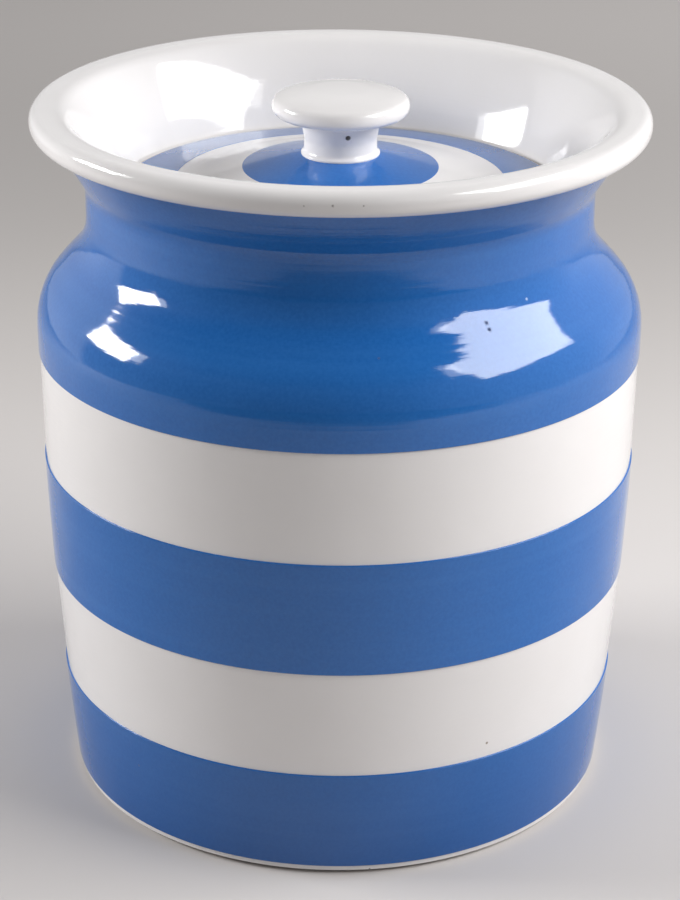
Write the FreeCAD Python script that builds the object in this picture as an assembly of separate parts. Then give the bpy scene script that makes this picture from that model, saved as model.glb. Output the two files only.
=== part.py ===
# Biscuit jar in banded earthenware: a bellied jar with a flared mouth, and a lid that
# sits on a ledge down inside the flare. Millimetres, +Z up. The origin is the middle of
# the circle that the jar stands on. The front of the jar faces -Y.
import FreeCAD, Part
import math
import os

os.makedirs("parts", exist_ok=True)

# Jar outside, white clay under the blue slip
belly_radius = 85.0        # widest part of the wall
belly_height = 137.4       # height of the widest part above the table
foot_taper = 7.3           # how much narrower the wall is at the foot
foot_round = 1.2           # round on the outer edge of the foot
shoulder_round = 19.5      # convex curve from wall to shoulder
shoulder_slope = 39.7      # degrees from upright, straight part of the shoulder
shoulder_step = 14.6       # how far the neck stands in from the belly
neck_round = 15.4          # hollow curve from shoulder to neck
neck_height = 7.8          # upright part of the neck
flare_round = 8.0          # hollow curve from neck to flare
flare_slope = 31.0         # degrees from upright, both faces of the flare
flare_rise = 23.5          # from the start of the flare to the top of the lip
flare_reach = 15.1         # from the neck out to the edge of the lip

# Lip
lip_height = 7.0           # thickness of the rolled lip
lip_round = 3.3            # rounds on the outer edge of the lip
lip_root_round = 1.0       # small hollow under the lip
lip_inner_round = 5.0      # easy curve from the lip into the flare

# Jar inside
wall = 6.0                 # thickness of wall and shoulder
floor_thickness = 7.0      # clay between the inside and the recess in the base
inner_floor_round = 12.0   # curve from floor to wall, inside
foot_ring_width = 5.5      # width of the ring that the jar stands on
foot_recess = 2.5          # depth of the hollow in the base
foot_recess_draft = 2.0    # slope of the foot ring's inner face
seat_wall = 7.5            # clay between the lid's recess and the neck outside
recess_depth = 4.3         # depth of the upright recess that holds the lid's edge
seat_drop = 5.2            # from the start of the flare down to the ledge
ledge_width = 5.9          # width of the ledge that carries the lid
ledge_slope = 45.0         # degrees from upright, sloping underside of the ledge
ledge_round = 1.0          # rounds on the ledge's edges

# Slip bands, in height from the table upwards
slip = 0.4                 # thickness of the coloured slip over the clay
foot_white_height = 2.7    # bare foot below the lowest band
foot_band_height = 30.3
lower_white_height = 32.0
middle_band_height = 33.0
upper_white_height = 31.8

# Lid
lid_play = 1.0             # room between the lid's edge and its recess, on the radius
lid_edge_height = 4.1      # thickness of the lid at its edge
lid_edge_round = 1.0
lid_bend_radius = 40.0     # where the lid turns from its gentle to its steeper slope
lid_outer_slope = 8.7      # degrees from level, outside the bend
lid_inner_slope = 12.6     # degrees from level, inside the bend
lid_bend_round = 300.0
lid_crown = 5.0            # thickness of the lid in the middle
flange_play = 1.2          # room between the lid's flange and the mouth, on the radius
flange_width = 4.0
flange_depth = 8.0
flange_round = 1.2
lid_ring_width = 15.0      # outer blue ring on the lid
lid_centre_radius = 27.3   # outside of the blue ring round the knob

# Knob
knob_foot_radius = 11.4
knob_foot_height = 2.1
knob_foot_round = 0.9
knob_waist_radius = 10.1
knob_waist_height = 5.0    # height of the narrowest place above the knob's foot
knob_top_radius = 10.9     # stem where it meets the head
knob_underside = 10.1      # height of the head's underside above the knob's foot
knob_head_radius = 19.0
knob_head_round = 3.4      # round on the edge of the head
knob_head_rise = 5.3       # from the head's widest place to its top
knob_bore = 6.0            # radius of the hollow inside the knob
knob_crown = 5.3           # clay over the hollow
vent_diameter = 1.4        # pin hole that lets the air out in the kiln
vent_height = 7.3          # above the knob's foot
vent_turn = 11.0           # degrees to the right of the front
knob_joint_gap = 0.3       # bare line between the knob and the slip round it

cut_margin = 20.0          # how far cutting shapes run past what they cut

# Worked out from the sizes above
slope = math.radians(shoulder_slope)
flare = math.radians(flare_slope)
neck_radius = belly_radius - shoulder_step
both_rounds = shoulder_round + neck_round
shoulder_run = (shoulder_step - both_rounds * (1 - math.cos(slope))) / math.sin(slope)
neck_z = belly_height + both_rounds * math.sin(slope) + shoulder_run * math.cos(slope)
flare_z = neck_z + neck_height
lip_top = flare_z + flare_rise
lip_bottom = lip_top - lip_height
lip_radius = neck_radius + flare_reach
seat_z = flare_z - seat_drop
seat_radius = neck_radius - seat_wall
mouth_radius = seat_radius - ledge_width
recess_top = seat_z + recess_depth
floor_z = foot_recess + floor_thickness
foot_radius = belly_radius - foot_taper
wall_bow = (foot_taper ** 2 + belly_height ** 2) / (2 * foot_taper)
lid_radius = seat_radius - lid_play
lid_edge_z = seat_z + lid_edge_height
lid_bend_z = lid_edge_z + (lid_radius - lid_bend_radius) * math.tan(math.radians(lid_outer_slope))
lid_bend_reach = lid_bend_radius - knob_foot_radius
knob_z = lid_bend_z + lid_bend_reach * math.tan(math.radians(lid_inner_slope))
foot_band_top = foot_white_height + foot_band_height
middle_band_low = foot_band_top + lower_white_height
middle_band_top = middle_band_low + middle_band_height
shoulder_band_low = middle_band_top + upper_white_height
shoulder_band_top = lip_bottom - lip_root_round
lid_ring_outer = lid_radius - lid_edge_round


def at(radius, height):
    return FreeCAD.Vector(radius, 0, height)


def line(start, end):
    return Part.LineSegment(start, end).toShape()


def curve(start, middle, end):
    return Part.Arc(start, middle, end).toShape()


def turn(centre, radius, first, last):
    """Arc about centre in the profile's plane, from one angle to another, in degrees."""
    def spot(angle):
        a = math.radians(angle)
        return centre + at(radius * math.cos(a), radius * math.sin(a))
    return curve(spot(first), spot((first + last) / 2), spot(last))


def rounded(corners):
    """Edges through corners given as (point, round), where each round touches both sides."""
    edges = []
    here = corners[0][0]
    for before, corner, after in zip(corners, corners[1:], corners[2:]):
        point, radius = corner
        if radius == 0:
            edges.append(line(here, point))
            here = point
            continue
        back = (before[0] - point).normalize()
        on = (after[0] - point).normalize()
        half = back.getAngle(on) / 2
        reach = radius / math.tan(half)
        first = point + back * reach
        last = point + on * reach
        centre = point + (back + on).normalize() * (radius / math.sin(half))
        middle = centre + (point - centre).normalize() * radius
        edges.append(line(here, first))
        edges.append(curve(first, middle, last))
        here = last
    edges.append(line(here, corners[-1][0]))
    return edges


def turned(edges):
    """Solid of revolution of a closed profile about the jar's axis."""
    face = Part.Face(Part.Wire(Part.__sortEdges__(edges)))
    return face.revolve(FreeCAD.Vector(0, 0, 0), FreeCAD.Vector(0, 0, 1), 360)


def wall_radius(height, grow):
    """Radius of the bowed wall, upright at the belly, at a height and grown outwards."""
    bow = wall_bow + grow
    side = math.copysign(1, wall_bow)
    return belly_radius - wall_bow + side * math.sqrt(bow ** 2 - (belly_height - height) ** 2)


def wall_edge(low, high, grow):
    """Bowed wall between two heights."""
    heights = (low, (low + high) / 2, high)
    return curve(*(at(wall_radius(z, grow), z) for z in heights))


def outside_edges(grow):
    """Outside from above the foot's round to the start of the flare's straight face."""
    marks = (foot_white_height, foot_band_top, middle_band_low, middle_band_top, shoulder_band_low)
    stops = [foot_round] + sorted(z for z in marks if foot_round < z < belly_height) + [belly_height]
    walls = [wall_edge(low, high, grow) for low, high in zip(stops, stops[1:])]
    upper = turn(at(belly_radius - shoulder_round, belly_height), shoulder_round + grow, 0, shoulder_slope)
    hollow = turn(at(neck_radius + neck_round, neck_z), neck_round - grow, 180 + shoulder_slope, 180)
    opening = turn(at(neck_radius + flare_round, flare_z), flare_round - grow, 180, 180 - flare_slope)
    slant = line(upper.lastVertex().Point, hollow.firstVertex().Point)
    neck = line(hollow.lastVertex().Point, opening.firstVertex().Point)
    return walls + [upper, slant, hollow, neck, opening]


def flare_radius(height, grow):
    """Radius of the flare's straight outer face at a height, grown outwards."""
    start = neck_radius + flare_round - (flare_round - grow) * math.cos(flare)
    start_z = flare_z + (flare_round - grow) * math.sin(flare)
    return start + (height - start_z) * math.tan(flare)


def jar_body():
    """White clay vessel: foot ring, bowed wall, shoulder, neck, flare, lip and lid ledge."""
    foot_edge = foot_radius - foot_round
    wedge = foot_round * (1 - math.sin(math.radians(45)))
    foot = curve(at(foot_edge, 0), at(foot_radius - wedge, wedge), at(wall_radius(foot_round, 0), foot_round))
    outside = [foot] + outside_edges(0)
    nose = min(lip_round, 0.48 * lip_height)
    inner_top = seat_radius + (lip_top - recess_top) * math.tan(flare)
    tilt = math.radians(ledge_slope)
    inner_start = at(
        belly_radius - shoulder_round + (shoulder_round - wall) * math.cos(tilt),
        belly_height + (shoulder_round - wall) * math.sin(tilt))
    mouth_z = inner_start.z + (inner_start.x - mouth_radius) / math.tan(tilt)
    upper = rounded([
        (outside[-1].lastVertex().Point, 0),
        (at(flare_radius(lip_bottom, 0), lip_bottom), lip_root_round),
        (at(lip_radius, lip_bottom), nose),
        (at(lip_radius, lip_top), nose),
        (at(inner_top, lip_top), lip_inner_round),
        (at(seat_radius, recess_top), ledge_round),
        (at(seat_radius, seat_z), ledge_round / 2),
        (at(mouth_radius, seat_z), ledge_round),
        (at(mouth_radius, mouth_z), ledge_round),
        (inner_start, 0)])
    shoulder = turn(at(belly_radius - shoulder_round, belly_height), shoulder_round - wall, ledge_slope, 0)
    floor_start = floor_z + inner_floor_round
    inside = wall_edge(belly_height, floor_start, -wall)
    ring_edge = foot_edge - foot_ring_width
    lower = rounded([
        (at(wall_radius(floor_start, -wall), floor_start), 0),
        (at(wall_radius(floor_z, -wall), floor_z), inner_floor_round),
        (at(0, floor_z), 0),
        (at(0, foot_recess), 0),
        (at(ring_edge - foot_recess_draft, foot_recess), 0),
        (at(ring_edge, 0), 0),
        (at(foot_edge, 0), 0)])
    return turned(outside + upper + [shoulder, inside] + lower)


def coat():
    """Slip over the whole outside of the jar, from which the bands are taken."""
    def side(grow):
        edges = outside_edges(grow)
        end = at(flare_radius(lip_bottom, grow), lip_bottom)
        return edges + [line(edges[-1].lastVertex().Point, end)]
    inner = side(0)
    outer = side(slip)
    foot = line(inner[0].firstVertex().Point, outer[0].firstVertex().Point)
    top = line(inner[-1].lastVertex().Point, outer[-1].lastVertex().Point)
    return turned(inner + outer + [foot, top])


def slip_band(low, high):
    """One band of slip round the jar between two heights."""
    reach = belly_radius + flare_reach + cut_margin
    slab = Part.makeCylinder(reach, high - low, FreeCAD.Vector(0, 0, low))
    return coat().common(slab).Solids[0]


def lid_top(rise):
    """Top of the lid from its edge in to the knob's seat, raised by a distance."""
    edge_z = lid_edge_z + lid_edge_round * math.tan(math.radians(lid_outer_slope))
    return rounded([
        (at(lid_ring_outer, edge_z + rise), 0),
        (at(lid_bend_radius, lid_bend_z + rise), lid_bend_round),
        (at(knob_foot_radius, knob_z + rise), 0)])


def lid_disc():
    """White clay lid: a low cone with a flat seat for the knob and a flange underneath."""
    flange_outer = mouth_radius - flange_play
    flange_inner = flange_outer - flange_width
    flange_z = seat_z - flange_depth
    under_z = knob_z - lid_crown
    top = lid_top(0)
    edge = top[0].firstVertex().Point
    round_z = edge.z - lid_edge_round
    rim = turn(at(edge.x, round_z), lid_edge_round, 90, 0)
    under = rounded([
        (rim.lastVertex().Point, 0),
        (at(lid_radius, seat_z), lid_edge_round),
        (at(flange_outer, seat_z), 0),
        (at(flange_outer, flange_z), flange_round),
        (at(flange_inner, flange_z), flange_round),
        (at(flange_inner, seat_z + flange_round / 2), flange_round),
        (at(knob_foot_radius, under_z), flange_round),
        (at(0, under_z), 0),
        (at(0, knob_z), 0),
        (at(knob_foot_radius, knob_z), 0)])
    return turned(top + [rim] + under)


def lid_slip_ring(inner, outer):
    """One ring of slip on top of the lid between two radii."""
    low = lid_top(0)
    high = lid_top(slip)
    rim = line(low[0].firstVertex().Point, high[0].firstVertex().Point)
    hub = line(low[-1].lastVertex().Point, high[-1].lastVertex().Point)
    whole = turned(low + high + [rim, hub])
    height = knob_z - seat_z + cut_margin
    base = FreeCAD.Vector(0, 0, seat_z)
    tube = Part.makeCylinder(outer, height, base).cut(Part.makeCylinder(inner, height, base))
    return whole.common(tube).Solids[0]


def lid_knob():
    """Hollow knob stuck on the lid with slip: a foot, a waisted stem and a flattened head."""
    def up(radius, height):
        return at(radius, knob_z + height)
    edge_z = knob_underside + knob_head_round
    rim_x = knob_head_radius - knob_head_round
    dome = (rim_x ** 2 + knob_head_rise ** 2 - knob_head_round ** 2) / (2 * (knob_head_rise - knob_head_round))
    dome_z = edge_z + knob_head_rise - dome
    meet = math.degrees(math.atan2(edge_z - dome_z, rim_x))
    stem = rounded([
        (up(0, 0), 0),
        (up(knob_foot_radius, 0), knob_foot_round / 3),
        (up(knob_foot_radius, knob_foot_height), knob_foot_round),
        (up(knob_waist_radius, knob_foot_height), knob_foot_round / 3),
        (up(knob_waist_radius, knob_waist_height), 2 * knob_waist_height),
        (up(knob_top_radius, knob_underside), knob_foot_round / 2),
        (up(rim_x, knob_underside), 0)])
    edge = turn(up(rim_x, edge_z), knob_head_round, -90, meet)
    top = turn(up(0, dome_z), dome, meet, 90)
    axis = line(top.lastVertex().Point, up(0, 0))
    solid = turned(stem + [edge, top, axis])
    hollow_z = edge_z + knob_head_rise - knob_crown
    hollow = turned(rounded([
        (up(0, 0), 0),
        (up(knob_bore, 0), 0),
        (up(knob_bore, hollow_z), knob_bore / 2),
        (up(0, hollow_z), 0),
        (up(0, 0), 0)]))
    heading = math.radians(vent_turn - 90)
    aim = FreeCAD.Vector(math.cos(heading), math.sin(heading), 0)
    start = FreeCAD.Vector(0, 0, knob_z + vent_height)
    vent = Part.makeCylinder(vent_diameter / 2, knob_head_radius, start, aim)
    return solid.cut(hollow).cut(vent).Solids[0]


pieces = {
    "jar_body": jar_body(),
    "foot_slip_band": slip_band(foot_white_height, foot_band_top),
    "middle_slip_band": slip_band(middle_band_low, middle_band_top),
    "shoulder_slip_band": slip_band(shoulder_band_low, shoulder_band_top),
    "lid_disc": lid_disc(),
    "lid_outer_slip_ring": lid_slip_ring(lid_ring_outer - lid_ring_width, lid_ring_outer),
    "lid_centre_slip_ring": lid_slip_ring(knob_foot_radius + knob_joint_gap, lid_centre_radius),
    "lid_knob": lid_knob(),
}

for name, solid in pieces.items():
    solid.exportStep("parts/" + name + ".step")
    box = solid.BoundBox
    print(name, solid.ShapeType, solid.isValid(), "volume %.0f" % solid.Volume,
          "z %.2f to %.2f" % (box.ZMin, box.ZMax), "radius %.2f" % box.XMax)
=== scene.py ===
import bpy
import math
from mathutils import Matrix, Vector


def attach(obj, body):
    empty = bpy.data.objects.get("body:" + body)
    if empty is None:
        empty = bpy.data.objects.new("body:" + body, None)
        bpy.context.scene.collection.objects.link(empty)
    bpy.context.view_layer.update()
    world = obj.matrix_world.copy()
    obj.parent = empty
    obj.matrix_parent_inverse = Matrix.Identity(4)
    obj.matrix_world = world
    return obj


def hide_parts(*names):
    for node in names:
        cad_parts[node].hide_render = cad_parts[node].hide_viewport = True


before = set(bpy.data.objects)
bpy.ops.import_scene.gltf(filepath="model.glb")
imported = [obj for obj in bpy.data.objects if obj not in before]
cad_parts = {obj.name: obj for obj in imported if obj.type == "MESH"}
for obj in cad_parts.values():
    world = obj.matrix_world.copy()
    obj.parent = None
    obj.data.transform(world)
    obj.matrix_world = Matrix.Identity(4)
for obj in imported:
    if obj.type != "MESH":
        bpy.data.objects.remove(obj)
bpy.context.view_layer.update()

# The camera stands in front of the jar and a little above its lip, with a long lens, as a
# photographer shows small pottery. The small turn about its own axis is the photograph's tilt.
bpy.ops.object.select_all(action="DESELECT")
bpy.ops.object.camera_add(location=(0.00044, -0.66942, 0.38068))
camera = bpy.context.object
camera.name = "camera"
camera.rotation_mode = "ZYX"
camera.rotation_euler = (math.radians(66.86), 0.0, math.radians(0.414))
camera.data.lens = 100.0
camera.data.sensor_width = 36.0
camera.data.clip_start = 0.01
bpy.context.scene.camera = camera
bpy.context.scene.view_settings.view_transform = "Standard"

# Pale grey paper lies on a dark table and ends half a metre in front, an edge that the glaze
# mirrors and the camera doesn't see. Its grey is painted lighter and darker from place to place,
# painted light and shade for how much of the lamps' light falls there. The paper is open inside
# the jar's foot ring and clear from underneath, so that the hollow base can be looked at in the
# light.
paper_front = -0.50
paper_hole = 0.0712
paper_cast = (1.035, 0.985, 0.955)
dark_table = (0.11, 0.105, 0.10, 1.0)


def stretch(tree, value, low, high, to_low=0.0, to_high=1.0):
    """Turn a value that runs from low to high into one that runs from to_low to to_high."""
    span = tree.nodes.new("ShaderNodeMapRange")
    span.inputs["From Min"].default_value = low
    span.inputs["From Max"].default_value = high
    span.inputs["To Min"].default_value = to_low
    span.inputs["To Max"].default_value = to_high
    tree.links.new(value, span.inputs["Value"])
    return span


def set_greys(ramp, cast, greys):
    """Give a colour ramp its places and greys, each with the same cast of colour."""
    for number, (place_at, grey) in enumerate(greys):
        stop = ramp.elements[number] if number < 2 else ramp.elements.new(place_at)
        stop.position = place_at
        stop.color = (grey * cast[0], grey * cast[1], grey * cast[2], 1.0)


bpy.ops.object.select_all(action="DESELECT")
bpy.ops.mesh.primitive_plane_add(size=6.0, location=(0.0, 0.0, 0.0))
table = bpy.context.object
bpy.ops.transform.resize(value=(0.3, 1.0, 1.0))
bpy.ops.object.transform_apply(location=False, rotation=False, scale=True)
table.name = "table_paper"

paper = bpy.data.materials.new("grey_paper")
paper.use_nodes = True
nodes = paper.node_tree.nodes
links = paper.node_tree.links
paper_shader = nodes["Principled BSDF"]
paper_shader.inputs["Roughness"].default_value = 0.9
paper_shader.inputs["Specular IOR Level"].default_value = 0.2
place = nodes.new("ShaderNodeTexCoord")
apart = nodes.new("ShaderNodeSeparateXYZ")
links.new(place.outputs["Object"], apart.inputs["Vector"])
# Painted light and shade: the paper's grey rises and falls with depth and grows lighter to the
# right.
depth = stretch(paper.node_tree, apart.outputs["Y"], -0.1, 1.0)
painted_light_along_paper = nodes.new("ShaderNodeValToRGB")
painted_light_along_paper.color_ramp.interpolation = "B_SPLINE"
set_greys(painted_light_along_paper.color_ramp, paper_cast, (
    (0.0, 0.54), (0.10, 0.56), (0.25, 0.60), (0.36, 0.55), (0.50, 0.475), (0.62, 0.475),
    (0.75, 0.54), (0.88, 0.66), (1.0, 0.75)))
links.new(depth.outputs["Result"], painted_light_along_paper.inputs["Fac"])
painted_light_across_paper = stretch(paper.node_tree, apart.outputs["X"], -0.25, 0.25, 0.95, 1.17)
shaded = nodes.new("ShaderNodeVectorMath")
shaded.operation = "SCALE"
links.new(painted_light_along_paper.outputs["Color"], shaded.inputs[0])
links.new(painted_light_across_paper.outputs["Result"], shaded.inputs["Scale"])
edge = stretch(paper.node_tree, apart.outputs["Y"], paper_front - 0.03, paper_front + 0.03)
edge.interpolation_type = "SMOOTHSTEP"
sheet = nodes.new("ShaderNodeMix")
sheet.data_type = "RGBA"
sheet.inputs["A"].default_value = dark_table
seen = nodes.new("ShaderNodeLightPath")
pale = nodes.new("ShaderNodeMath")
pale.operation = "MAXIMUM"
links.new(edge.outputs["Result"], pale.inputs[0])
links.new(seen.outputs["Is Camera Ray"], pale.inputs[1])
links.new(pale.outputs["Value"], sheet.inputs["Factor"])
links.new(shaded.outputs["Vector"], sheet.inputs["B"])
links.new(sheet.outputs["Result"], paper_shader.inputs["Base Color"])
under = nodes.new("ShaderNodeNewGeometry")
reach = nodes.new("ShaderNodeVectorMath")
reach.operation = "LENGTH"
links.new(place.outputs["Object"], reach.inputs[0])
within = nodes.new("ShaderNodeMath")
within.operation = "LESS_THAN"
within.inputs[1].default_value = paper_hole
links.new(reach.outputs["Value"], within.inputs[0])
open_to = nodes.new("ShaderNodeMath")
open_to.operation = "MAXIMUM"
links.new(under.outputs["Backfacing"], open_to.inputs[0])
links.new(within.outputs["Value"], open_to.inputs[1])
clear = nodes.new("ShaderNodeBsdfTransparent")
one_sided = nodes.new("ShaderNodeMixShader")
links.new(open_to.outputs["Value"], one_sided.inputs["Fac"])
links.new(paper_shader.outputs["BSDF"], one_sided.inputs[1])
links.new(clear.outputs["BSDF"], one_sided.inputs[2])
links.new(one_sided.outputs["Shader"], nodes["Material Output"].inputs["Surface"])
table.data.materials.append(paper)

# Two softboxes light the jar, a small one low on the left and a wide one higher on the right,
# each with a dimmer strip at the side towards the camera, where its cloth is seen at a slant.
# Their shapes are what the glaze mirrors on the shoulder and inside the flare.
middle = Vector((0.0, 0.0, 0.155))
for name, around, above, width, height, power in (
        ("left_softbox", -95.3, 19.7, 0.40, 0.245, 7.9),
        ("left_softbox_side", -81.0, 22.0, 0.09, 0.18, 0.25),
        ("right_softbox", 78.0, 36.0, 0.80, 0.46, 11.2),
        ("right_softbox_side", 48.0, 39.0, 0.10, 0.26, 0.25)):
    turn = math.radians(around)
    tip = math.radians(above)
    aim = Vector((math.sin(turn) * math.cos(tip), -math.cos(turn) * math.cos(tip), math.sin(tip)))
    bpy.ops.object.select_all(action="DESELECT")
    bpy.ops.object.light_add(type="AREA", location=middle + aim)
    softbox = bpy.context.object
    softbox.name = name
    softbox.rotation_euler = aim.to_track_quat("Z", "Y").to_euler()
    softbox.data.shape = "RECTANGLE"
    softbox.data.size = width
    softbox.data.size_y = height
    softbox.data.energy = power

# The room: dark where the photographer stands, pale at both sides and grey behind, with a dark
# ceiling. The glaze mirrors it all round the paper; the camera sees a plain pale backdrop.
world = bpy.data.worlds.new("studio_room")
world.use_nodes = True
bpy.context.scene.world = world
nodes = world.node_tree.nodes
links = world.node_tree.links
place = nodes.new("ShaderNodeTexCoord")
apart = nodes.new("ShaderNodeSeparateXYZ")
links.new(place.outputs["Generated"], apart.inputs["Vector"])
ahead = nodes.new("ShaderNodeMath")
ahead.operation = "MULTIPLY"
ahead.inputs[1].default_value = -1.0
links.new(apart.outputs["Y"], ahead.inputs[0])
compass = nodes.new("ShaderNodeMath")
compass.operation = "ARCTAN2"
links.new(apart.outputs["X"], compass.inputs[0])
links.new(ahead.outputs["Value"], compass.inputs[1])
bearing = stretch(world.node_tree, compass.outputs["Value"], -math.pi, math.pi)
walls = nodes.new("ShaderNodeValToRGB")
set_greys(walls.color_ramp, (1.0, 0.99, 1.0), (
    (0.0, 0.45), (0.08, 0.55), (0.15, 1.1), (0.192, 1.15), (0.203, 0.45), (0.28, 0.32),
    (0.34, 0.17), (0.42, 0.13), (0.52, 0.12), (0.58, 0.20), (0.63, 0.37), (0.68, 0.56),
    (0.77, 0.76), (0.83, 0.97), (0.90, 0.75), (0.95, 0.52), (1.0, 0.45)))
links.new(bearing.outputs["Result"], walls.inputs["Fac"])
rise = stretch(world.node_tree, apart.outputs["Z"], 0.45, 0.80)
rise.interpolation_type = "SMOOTHSTEP"
room = nodes.new("ShaderNodeMix")
room.data_type = "RGBA"
room.inputs["B"].default_value = (0.06, 0.06, 0.06, 1.0)
links.new(rise.outputs["Result"], room.inputs["Factor"])
links.new(walls.outputs["Color"], room.inputs["A"])
seen = nodes.new("ShaderNodeLightPath")
backdrop = nodes.new("ShaderNodeMix")
backdrop.data_type = "RGBA"
backdrop.inputs["B"].default_value = (0.60, 0.59, 0.585, 1.0)
links.new(seen.outputs["Is Camera Ray"], backdrop.inputs["Factor"])
links.new(room.outputs["Result"], backdrop.inputs["A"])
links.new(backdrop.outputs["Result"], nodes["Background"].inputs["Color"])

# JAR BODY. White earthenware, thrown and turned on a wheel: foot ring, bowed wall, shoulder,
# upright neck and a wide flared mouth with a rolled lip. Inside the flare are an upright
# recess and a ledge, left bare of glaze, on which the lid lies. Sizes are in millimetres.
belly_radius = 85.0
belly_height = 137.4
wall_bow = 1296.7
wall_thick = 6.0
neck_radius = 70.4
lip_radius = 85.5
lip_bottom = 191.885
lip_top = 198.885
lip_round = 3.3
seat_radius = 62.9
seat_height = 170.185
mouth_radius = 57.0
hollow_height = 2.5
floor_height = 9.5


def soft_corners(corners):
    """Points along an outline in millimetres; each corner is radius, height and its round.

    Beside a small round, a further point keeps the shading of a long flat from bending.
    """
    small_round = 2
    long_flat = 3
    beside = 0.3
    points = []
    for number, (radius, height, bend) in enumerate(corners):
        here = Vector((radius, height))
        if bend == 0:
            points.append(here)
            continue
        before = Vector(corners[number - 1][:2]) - here
        after = Vector(corners[(number + 1) % len(corners)][:2]) - here
        back = before.normalized()
        on = after.normalized()
        half = back.angle(on) / 2
        centre = here + (back + on).normalized() * (bend / math.sin(half))
        start = here + back * (bend / math.tan(half)) - centre
        finish = here + on * (bend / math.tan(half)) - centre
        turn = start.angle_signed(finish)
        degrees_each = 9 if bend > 1 else 20
        steps = max(3, math.ceil(abs(math.degrees(turn)) / degrees_each))
        if bend < small_round and before.length > long_flat:
            points.append(centre + start + back * beside)
        for step in range(steps + 1):
            part = -turn * step / steps
            side = Vector((start.x * math.cos(part) - start.y * math.sin(part),
                           start.x * math.sin(part) + start.y * math.cos(part)))
            points.append(centre + side)
        if bend < small_round and after.length > long_flat:
            points.append(centre + finish + on * beside)
    return points


def turn_on_wheel(name, outline):
    """Draw an outline point by point and turn it once round the jar's upright axis."""
    sides = 192
    merge_gap = 0.000002
    sharp_from = math.radians(40.0)
    bpy.ops.object.select_all(action="DESELECT")
    bpy.ops.mesh.primitive_plane_add(size=0.01, enter_editmode=True, location=(0.0, 0.0, 0.0))
    bpy.ops.mesh.merge(type="CENTER")
    bpy.ops.transform.translate(value=(outline[0].x * 0.001, 0.0, outline[0].y * 0.001))
    for here, after in zip(outline, outline[1:]):
        move = (after - here) * 0.001
        bpy.ops.mesh.extrude_vertices_move(TRANSFORM_OT_translate={"value": (move.x, 0.0, move.y)})
    bpy.ops.mesh.select_all(action="SELECT")
    bpy.ops.mesh.remove_doubles(threshold=merge_gap)
    bpy.ops.mesh.select_all(action="SELECT")
    bpy.ops.mesh.spin(steps=sides, angle=math.tau, center=(0.0, 0.0, 0.0), axis=(0.0, 0.0, 1.0))
    bpy.ops.mesh.select_all(action="SELECT")
    bpy.ops.mesh.remove_doubles(threshold=merge_gap)
    bpy.ops.mesh.select_all(action="SELECT")
    bpy.ops.mesh.normals_make_consistent(inside=False)
    bpy.ops.object.mode_set(mode="OBJECT")
    piece = bpy.context.object
    piece.name = name
    piece.data.name = name
    bpy.ops.object.shade_smooth_by_angle(angle=sharp_from)
    return piece


def wall(height, grow=0.0):
    """Radius of the bowed wall at a height; it stands upright where the belly is widest."""
    rise = belly_height - height
    return belly_radius - wall_bow + math.sqrt((wall_bow + grow) ** 2 - rise ** 2)


outside_heights = (1.2, 2.7, 12, 22, 33, 44, 54, 65, 76, 87, 98, 109, 120, 129.8)
outside = [(wall(z), z, 0) for z in outside_heights]
inside_heights = (belly_height, 125, 110, 95, 80, 65, 50, 36, 24)
inside = [(wall(z, -wall_thick), z, 0) for z in inside_heights]
foot = [(0, hollow_height, 0), (35, hollow_height, 0), (69.0, hollow_height, 1.5),
        (71.0, 0, 0.5), (76.1, 0, 0.6)]
shoulder_and_neck = [(belly_radius, 145.25, 20.16), (neck_radius, 161.16, 16.5),
                     (neck_radius, 177.604, 8.0)]
lip = [(78.99, lip_bottom, 1.0), (lip_radius, lip_bottom, lip_round),
       (lip_radius, lip_top, lip_round), (76.77, lip_top, 6.5)]
inside_flare = [(71.81, 192.5, 55), (68.08, 186.5, 55), (65.14, 180.5, 55),
                (seat_radius, 174.485, 1.0)]
ledge = [(seat_radius, seat_height, 0.5), (mouth_radius, seat_height, 1.0),
         (mouth_radius, 165.0, 1.0), (79.0, 143.0, 13.5)]
floor = [(wall(floor_height, -wall_thick), floor_height, 12.0), (30, floor_height, 0),
         (0, floor_height, 0)]
jar = turn_on_wheel("jar_vessel", soft_corners(
    foot + outside + shoulder_and_neck + lip + inside_flare + ledge + inside + floor))
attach(jar, "jar")
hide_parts("jar_body")


def group_input(tree, name, value):
    """Add a number or a place to a node group and give it its usual value."""
    kind = "NodeSocketVector" if isinstance(value, tuple) else "NodeSocketFloat"
    socket = tree.interface.new_socket(name=name, in_out="INPUT", socket_type=kind)
    socket.default_value = value


def cloudy(tree, where, scale, detail):
    """Noise read at a place, for clouds, grain and streaks alike."""
    noise = tree.nodes.new("ShaderNodeTexNoise")
    noise.inputs["Scale"].default_value = scale
    noise.inputs["Detail"].default_value = detail
    tree.links.new(where, noise.inputs["Vector"])
    return noise


# Turning marks, for both glazes: fine level rings that the wheel leaves in the clay, the
# glaze's slow waves over them, and a fine grain. The group puts out a height.
marks = bpy.data.node_groups.new("turning_marks", "ShaderNodeTree")
group_input(marks, "Rings", 0.5)
group_input(marks, "Waves", 0.5)
group_input(marks, "Grain", 0.2)
marks.interface.new_socket(name="Height", in_out="OUTPUT", socket_type="NodeSocketFloat")
nodes = marks.nodes
links = marks.links
entry = nodes.new("NodeGroupInput")
leave = nodes.new("NodeGroupOutput")
place = nodes.new("ShaderNodeTexCoord")
level = nodes.new("ShaderNodeMapping")
level.inputs["Scale"].default_value = (6.0, 6.0, 1100.0)
links.new(place.outputs["Object"], level.inputs["Vector"])
rings = cloudy(marks, level.outputs["Vector"], 1.0, 3.0)
waves = cloudy(marks, place.outputs["Object"], 38.0, 1.0)
grain = cloudy(marks, place.outputs["Object"], 900.0, 2.0)
total = None
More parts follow.
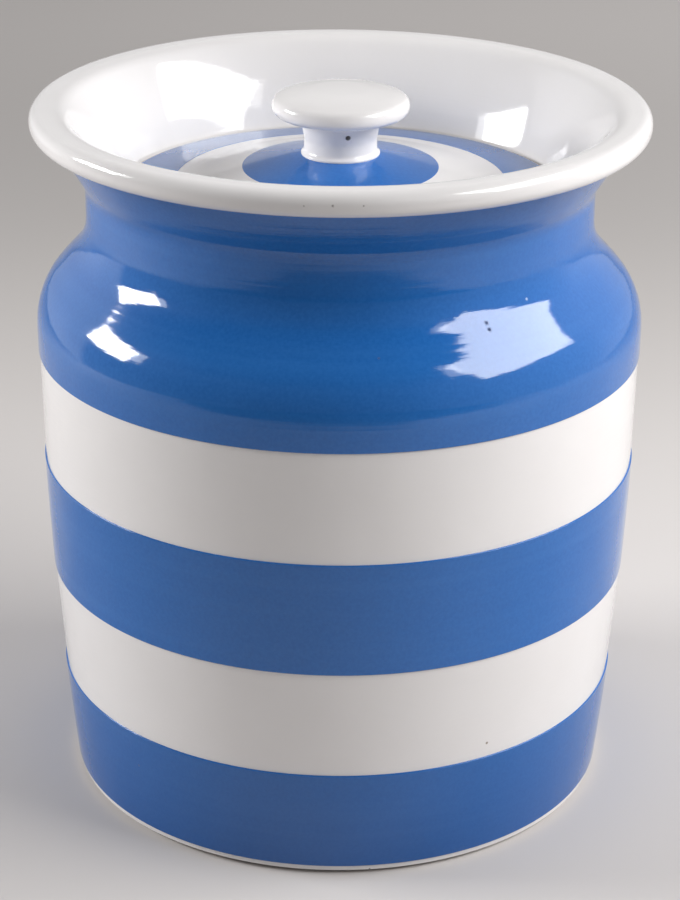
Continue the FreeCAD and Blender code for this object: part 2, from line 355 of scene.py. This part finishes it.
for texture, amount in ((rings, "Rings"), (waves, "Waves"), (grain, "Grain")):
    part = nodes.new("ShaderNodeMath")
    part.operation = "MULTIPLY"
    links.new(texture.outputs["Fac"], part.inputs[0])
    links.new(entry.outputs[amount], part.inputs[1])
    if total is None:
        total = part
        continue
    both = nodes.new("ShaderNodeMath")
    both.operation = "ADD"
    links.new(total.outputs["Value"], both.inputs[0])
    links.new(part.outputs["Value"], both.inputs[1])
    total = both
links.new(total.outputs["Value"], leave.inputs["Height"])

# Pit, for both glazes: a small round place with a ragged edge, where the glaze has burst or
# dirt has burnt in. The group puts out a mask, white inside the pit.
pit_ragged = 0.0005
pit_full = 0.0002
pit_fade = 0.0003
pit = bpy.data.node_groups.new("pit", "ShaderNodeTree")
group_input(pit, "Place", (0.0, 0.0, 0.0))
group_input(pit, "Size", 0.0006)
pit.interface.new_socket(name="Mask", in_out="OUTPUT", socket_type="NodeSocketFloat")
nodes = pit.nodes
links = pit.links
entry = nodes.new("NodeGroupInput")
leave = nodes.new("NodeGroupOutput")
place = nodes.new("ShaderNodeTexCoord")
far = nodes.new("ShaderNodeVectorMath")
far.operation = "DISTANCE"
links.new(place.outputs["Object"], far.inputs[0])
links.new(entry.outputs["Place"], far.inputs[1])
ragged = cloudy(pit, place.outputs["Object"], 1800.0, 2.0)
shift = nodes.new("ShaderNodeMath")
shift.operation = "MULTIPLY_ADD"
shift.inputs[1].default_value = pit_ragged
links.new(ragged.outputs["Fac"], shift.inputs[0])
links.new(far.outputs["Value"], shift.inputs[2])
soften = stretch(pit, shift.outputs["Value"], pit_full, pit_full + pit_fade, 1.0, 0.0)
soften.interpolation_type = "SMOOTHSTEP"
wide = nodes.new("ShaderNodeMath")
wide.operation = "ADD"
wide.inputs[1].default_value = pit_fade
links.new(entry.outputs["Size"], wide.inputs[0])
links.new(wide.outputs["Value"], soften.inputs["From Max"])
links.new(soften.outputs["Result"], leave.inputs["Mask"])

# Specks: a few tiny burnt grains scattered through fired clay, one at the middle of each
# cell that is among the chosen share. The group puts out a mask.
specks = bpy.data.node_groups.new("fired_specks", "ShaderNodeTree")
group_input(specks, "Spacing", 90.0)
group_input(specks, "Size", 0.05)
group_input(specks, "Share", 0.12)
specks.interface.new_socket(name="Mask", in_out="OUTPUT", socket_type="NodeSocketFloat")
nodes = specks.nodes
links = specks.links
entry = nodes.new("NodeGroupInput")
leave = nodes.new("NodeGroupOutput")
place = nodes.new("ShaderNodeTexCoord")
cells = nodes.new("ShaderNodeTexVoronoi")
links.new(place.outputs["Object"], cells.inputs["Vector"])
links.new(entry.outputs["Spacing"], cells.inputs["Scale"])
near = nodes.new("ShaderNodeMath")
near.operation = "LESS_THAN"
links.new(cells.outputs["Distance"], near.inputs[0])
links.new(entry.outputs["Size"], near.inputs[1])
chance = nodes.new("ShaderNodeSeparateColor")
links.new(cells.outputs["Color"], chance.inputs["Color"])
few = nodes.new("ShaderNodeMath")
few.operation = "LESS_THAN"
links.new(chance.outputs["Red"], few.inputs[0])
links.new(entry.outputs["Share"], few.inputs[1])
both = nodes.new("ShaderNodeMath")
both.operation = "MULTIPLY"
links.new(near.outputs["Value"], both.inputs[0])
links.new(few.outputs["Value"], both.inputs[1])
links.new(both.outputs["Value"], leave.inputs["Mask"])


def put_group(material, tree, **values):
    """Place a node group in a material and set its own inputs."""
    node = material.node_tree.nodes.new("ShaderNodeGroup")
    node.node_tree = tree
    for name, value in values.items():
        node.inputs[name].default_value = value
    return node


def tint(material, first, mask, second):
    """Lay a second colour, or roughness, over a first one where a mask is white."""
    mix = material.node_tree.nodes.new("ShaderNodeMix")
    mix.data_type = "RGBA" if isinstance(second, tuple) else "FLOAT"
    material.node_tree.links.new(mask, mix.inputs["Factor"])
    for value, socket in ((first, "A"), (second, "B")):
        if isinstance(value, tuple):
            mix.inputs[socket].default_value = (*value, 1.0)
        elif isinstance(value, float):
            mix.inputs[socket].default_value = value
        else:
            material.node_tree.links.new(value, mix.inputs[socket])
    return mix.outputs["Result"]


def raise_surface(material, height, strength):
    """Let a height that changes over the surface stand out in its shading."""
    deepest = 0.0002
    bump = material.node_tree.nodes.new("ShaderNodeBump")
    bump.inputs["Strength"].default_value = strength
    bump.inputs["Distance"].default_value = deepest
    material.node_tree.links.new(height, bump.inputs["Height"])
    shader = material.node_tree.nodes["Principled BSDF"]
    material.node_tree.links.new(bump.outputs["Normal"], shader.inputs["Normal"])


def round_spot(radius, height, around):
    """Place on the jar in metres, from its radius, its height and its angle from the front."""
    turn = math.radians(around)
    return (radius * math.sin(turn) * 0.001, -radius * math.cos(turn) * 0.001, height * 0.001)


# White glaze: clear shiny glaze over white clay, with a faint cream cloudiness, burnt specks
# and a few pits where the real jar has them.
glaze_ior = 1.56
glaze_rough = 0.07
white = bpy.data.materials.new("white_glaze_on_clay")
white.use_nodes = True
nodes = white.node_tree.nodes
links = white.node_tree.links
shader = nodes["Principled BSDF"]
shader.inputs["IOR"].default_value = glaze_ior
shader.inputs["Roughness"].default_value = glaze_rough
place = nodes.new("ShaderNodeTexCoord")
clouds = cloudy(white.node_tree, place.outputs["Object"], 45.0, 4.0)
colour = tint(white, (0.835, 0.815, 0.812), clouds.outputs["Fac"], (0.80, 0.777, 0.768))
dust = put_group(white, specks, Spacing=75.0, Size=0.035, Share=0.10)
colour = tint(white, colour, dust.outputs["Mask"], (0.36, 0.31, 0.27))
for spot, size in (
        (round_spot(85.0, 106.0, -27.7), 0.0004),
        (round_spot(85.3, 117.9, 16.6), 0.0003),
        (round_spot(82.2, 46.5, -6.3), 0.0003),
        (round_spot(81.5, 36.8, 20.9), 0.0004),
        (round_spot(85.45, 195.6, -5.9), 0.0003),
        (round_spot(85.45, 195.8, -1.2), 0.0005),
        (round_spot(85.45, 195.8, 3.9), 0.0004),
        (round_spot(77.8, 1.4, 7.0), 0.0003)):
    hole = put_group(white, pit, Place=spot, Size=size)
    colour = tint(white, colour, hole.outputs["Mask"], (0.16, 0.14, 0.13))
links.new(colour, shader.inputs["Base Color"])
relief = put_group(white, marks, Rings=0.4, Waves=6.0, Grain=0.05)
raise_surface(white, relief.outputs["Height"], 0.25)
jar.data.materials.append(white)

# Bare clay: the foot ring and the ledge are wiped clean before firing, so the jar and its lid
# don't stick to the kiln or to each other. Faces on these two places get it.
foot_bare_to = 0.0006
ledge_low = 0.1695
ledge_high = 0.1708
ledge_inner = 0.0555
ledge_outer = 0.0635
bare = bpy.data.materials.new("bare_clay")
bare.use_nodes = True
nodes = bare.node_tree.nodes
links = bare.node_tree.links
shader = nodes["Principled BSDF"]
shader.inputs["Roughness"].default_value = 0.85
place = nodes.new("ShaderNodeTexCoord")
sand = cloudy(bare.node_tree, place.outputs["Object"], 600.0, 5.0)
colour = tint(bare, (0.74, 0.68, 0.58), sand.outputs["Fac"], (0.62, 0.55, 0.45))
links.new(colour, shader.inputs["Base Color"])
raise_surface(bare, sand.outputs["Fac"], 0.5)
jar.data.materials.append(bare)
for face in jar.data.polygons:
    reach = math.hypot(face.center.x, face.center.y)
    on_foot = face.center.z < foot_bare_to
    on_ledge = ledge_low < face.center.z < ledge_high and ledge_inner < reach < ledge_outer
    face.material_index = 1 if on_foot or on_ledge else 0

# SLIP BANDS. Blue liquid clay, laid over the whole outside while the jar turns on the wheel
# and then cut away again on the lathe, so that three bands stand a hair proud of the white.
# The clear glaze over them is the same as on the white.
slip_proud = 0.4
slip_sunk = 0.1
slip_edge = 0.25
shoulder_band_low = 129.8


def wall_band(name, low, between, high):
    """Turn a band of slip on the bowed wall, a hair of it sunk into the clay underneath."""
    return turn_on_wheel(name, soft_corners(
        [(wall(low) - slip_sunk, low, 0), (wall(low, slip_proud), low, slip_edge)]
        + [(wall(z, slip_proud), z, 0) for z in between]
        + [(wall(high, slip_proud), high, slip_edge), (wall(high) - slip_sunk, high, 0)]
        + [(wall(between[1]) - slip_sunk, between[1], 0), (wall(low) - slip_sunk, low, 0)]))


foot_band = wall_band("blue_band_at_foot", 2.7, (10, 18, 26), 33.0)
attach(foot_band, "jar")
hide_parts("foot_slip_band")

middle_band = wall_band("blue_band_in_middle", 65.0, (73, 81, 90), 98.0)
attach(middle_band, "jar")
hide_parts("middle_slip_band")

shoulder_band = turn_on_wheel("blue_band_on_shoulder", soft_corners(
    [(wall(shoulder_band_low) - slip_sunk, shoulder_band_low, 0),
     (wall(shoulder_band_low, slip_proud), shoulder_band_low, slip_edge),
     (wall(134, slip_proud), 134, 0),
     (belly_radius + slip_proud, 145.406, 20.56), (neck_radius + slip_proud, 161.316, 16.1),
     (neck_radius + slip_proud, 177.493, 7.6), (78.85, 190.885, 0.2), (78.26, 190.885, 0),
     (neck_radius - slip_sunk, 177.632, 8.1), (neck_radius - slip_sunk, 161.121, 16.6),
     (belly_radius - slip_sunk, 145.211, 20.06),
     (wall(shoulder_band_low) - slip_sunk, shoulder_band_low, 0)]))
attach(shoulder_band, "jar")
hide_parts("shoulder_slip_band")

# Blue slip under clear glaze: cobalt blue clay, finely mottled, with level streaks where the
# brush or the turning tool has thinned it, and a few burst pits. It is darker on the foot band,
# the more so the lower down. Inside a pit the surface is dull.
foot_band_above = 0.05
pit_rough = 0.9
blue = bpy.data.materials.new("blue_slip_under_glaze")
blue.use_nodes = True
nodes = blue.node_tree.nodes
links = blue.node_tree.links
shader = nodes["Principled BSDF"]
shader.inputs["IOR"].default_value = glaze_ior
place = nodes.new("ShaderNodeTexCoord")
mottle = cloudy(blue.node_tree, place.outputs["Object"], 1100.0, 3.0)
spread = stretch(blue.node_tree, mottle.outputs["Fac"], 0.3, 0.7)
colour = tint(blue, (0.013, 0.125, 0.43), spread.outputs["Result"], (0.019, 0.147, 0.475))
level = nodes.new("ShaderNodeMapping")
level.inputs["Scale"].default_value = (5.0, 5.0, 260.0)
links.new(place.outputs["Object"], level.inputs["Vector"])
streaks = cloudy(blue.node_tree, level.outputs["Vector"], 1.0, 5.0)
thin = stretch(blue.node_tree, streaks.outputs["Fac"], 0.5, 0.85, 0.0, 0.5)
colour = tint(blue, colour, thin.outputs["Result"], (0.032, 0.175, 0.515))
apart = nodes.new("ShaderNodeSeparateXYZ")
links.new(place.outputs["Object"], apart.inputs["Vector"])
# Darker on the foot band, the more so towards its bottom.
darker_towards_bottom = stretch(blue.node_tree, apart.outputs["Z"], 0.035, 0.005, 0.15, 0.45)
low_down = nodes.new("ShaderNodeMath")
low_down.operation = "LESS_THAN"
low_down.inputs[1].default_value = foot_band_above
links.new(apart.outputs["Z"], low_down.inputs[0])
foot_band_darkening = nodes.new("ShaderNodeMath")
foot_band_darkening.operation = "MULTIPLY"
links.new(darker_towards_bottom.outputs["Result"], foot_band_darkening.inputs[0])
links.new(low_down.outputs["Value"], foot_band_darkening.inputs[1])
colour = tint(blue, colour, foot_band_darkening.outputs["Value"], (0.004, 0.060, 0.25))
rough = glaze_rough
for spot, size, shade in (
        (round_spot(70.8, 180.9, -25.3), 0.0009, (0.01, 0.02, 0.05)),
        (round_spot(74.4, 157.9, 30.8), 0.0010, (0.02, 0.03, 0.06)),
        (round_spot(75.4, 156.3, 30.9), 0.0009, (0.02, 0.03, 0.06)),
        (round_spot(78.3, 153.2, 7.4), 0.0005, (0.02, 0.06, 0.20)),
        (round_spot(70.8, 182.2, 19.4), 0.0005, (0.02, 0.05, 0.16)),
        (round_spot(72.5, 160.7, 42.5), 0.0006, (0.45, 0.55, 0.75)),
        (round_spot(80.3, 22.5, -43.7), 0.0005, (0.01, 0.03, 0.10))):
    hole = put_group(blue, pit, Place=spot, Size=size)
    colour = tint(blue, colour, hole.outputs["Mask"], shade)
    rough = tint(blue, rough, hole.outputs["Mask"], pit_rough)
links.new(rough, shader.inputs["Roughness"])
links.new(colour, shader.inputs["Base Color"])
relief = put_group(blue, marks, Rings=0.4, Waves=6.0, Grain=0.10)
raise_surface(blue, relief.outputs["Height"], 0.35)
for band in (foot_band, middle_band, shoulder_band):
    band.data.materials.append(blue)

# LID. White earthenware, pressed and turned: a low cone, steeper towards the knob, with a
# flange underneath that hangs in the mouth and keeps it in place. Its seat is bare of glaze.
lid_radius = 61.9
lid_top = 184.029
lid_thick = 5.0
lid_low = lid_top - lid_thick
seat_reach = 0.0003
flange_outer = 55.8
flange_inner = 51.8
flange_low = 162.185
flange_round = 1.2
lid = turn_on_wheel("lid_plate", soft_corners(
    [(0, lid_top, 0), (11.4, lid_top, 0), (25, 180.989, 0), (40, 177.636, 60),
     (60.9, 174.438, 1.0), (lid_radius, 174.1, 0.5), (lid_radius, seat_height, 1.0),
     (flange_outer, seat_height, 0), (flange_outer, flange_low, flange_round),
     (flange_inner, flange_low, flange_round), (flange_inner, 170.785, flange_round),
     (11.4, lid_low, 1.2), (0, lid_low, 0)]))
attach(lid, "lid")
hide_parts("lid_disc")
lid.data.materials.append(white)
lid.data.materials.append(bare)
for face in lid.data.polygons:
    reach = math.hypot(face.center.x, face.center.y)
    on_seat = abs(face.center.z - seat_height * 0.001) < seat_reach and reach > ledge_inner
    face.material_index = 1 if on_seat else 0

# LID RINGS. The same blue slip, banded on the lid while it turns: a broad ring at the edge
# and one round the knob.
outer_ring = turn_on_wheel("blue_ring_at_lid_edge", soft_corners(
    [(45.9, 176.633, 0), (45.9, 176.79, 0.03), (60.9, 174.495, 0.03), (60.9, 174.338, 0)]
    + [(45.9, 176.633, 0)]))
centre_ring = turn_on_wheel("blue_ring_round_knob", soft_corners(
    [(10.8, 184.063, 0), (10.8, 184.221, 0.03), (27.3, 180.533, 0.03), (27.3, 180.375, 0)]
    + [(10.8, 184.063, 0)]))
for ring, node in ((outer_ring, "lid_outer_slip_ring"), (centre_ring, "lid_centre_slip_ring")):
    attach(ring, "lid")
    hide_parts(node)
    ring.data.materials.append(blue)

# KNOB. Hollow white earthenware, turned by itself and stuck on with liquid clay: a small
# foot, a waisted stem and a flattened head. A pin hole in the stem lets the kiln's air out.
vent_height = lid_top + 7.3
vent_radius = 0.7
vent_around = 11.0
knob = turn_on_wheel("lid_knob_hollow", soft_corners(
    [(radius, lid_top + above, bend) for radius, above, bend in (
        (0, 13.5, 0), (6.0, 13.5, 3.0), (6.0, 0, 0), (10.95, 0, 0.3), (10.95, 0.7, 0.3),
        (10.2, 1.5, 1.4), (10.05, 4.5, 8.0), (11.3, 10.9, 0.45), (19.0, 11.2, 2.6),
        (19.0, 15.8, 2.6), (15.0, 17.3, 14.0), (8.0, 18.4, 30.0), (0, 18.8, 0))]))
bpy.ops.object.select_all(action="DESELECT")
bpy.ops.mesh.primitive_cylinder_add(
    vertices=24, radius=vent_radius * 0.001, depth=0.012,
    rotation=(math.radians(90.0), 0.0, math.radians(vent_around)),
    location=(0.00191, -0.00982, vent_height * 0.001))
pin = bpy.context.object
vent = knob.modifiers.new("vent", "BOOLEAN")
vent.operation = "DIFFERENCE"
vent.solver = "EXACT"
vent.object = pin
bpy.ops.object.select_all(action="DESELECT")
knob.select_set(True)
bpy.context.view_layer.objects.active = knob
bpy.ops.object.modifier_apply(modifier="vent")
bpy.ops.object.select_all(action="DESELECT")
pin.select_set(True)
bpy.context.view_layer.objects.active = pin
bpy.ops.object.delete()
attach(knob, "lid")
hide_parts("lid_knob")
knob.data.materials.append(white)
